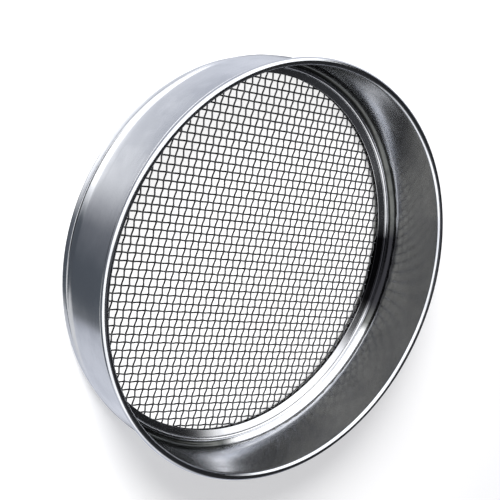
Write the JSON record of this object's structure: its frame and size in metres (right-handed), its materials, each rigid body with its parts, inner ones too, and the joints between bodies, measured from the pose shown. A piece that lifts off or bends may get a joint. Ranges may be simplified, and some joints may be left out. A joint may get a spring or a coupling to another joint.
{
  "type": "soil sieve",
  "caption": "Round stainless soil sieve: sheet-metal frame with a rolled rim and nesting skirt, and a plain-woven wire mesh clamped inside.",
  "frame": {"origin": "centre of the circle that the sieve's skirt rests on", "axes": "+Z along the sieve's axis, up through the open mouth; X and Y along the two directions of the mesh wires"},
  "size_m": [0.2076, 0.2076, 0.045],
  "materials": {
    "polished_sheet": "polished sheet with fine circumferential brushing",
    "ring_steel": "pressed ring, bright on the bead, duller on the cone",
    "solder": "smooth tin solder, slightly wavy",
    "mesh_wire": "drawn wire, dull and dark, with knuckles rubbed brighter"
  },
  "bodies": {
    "root": {"upper_frame": "polished_sheet", "lower_skirt": "polished_sheet", "support_ring": "ring_steel", "clamp_ring": "ring_steel", "solder_fillet": "solder", "warp_wires": "mesh_wire", "weft_wires": "mesh_wire"}
  },
  "joints": []
}
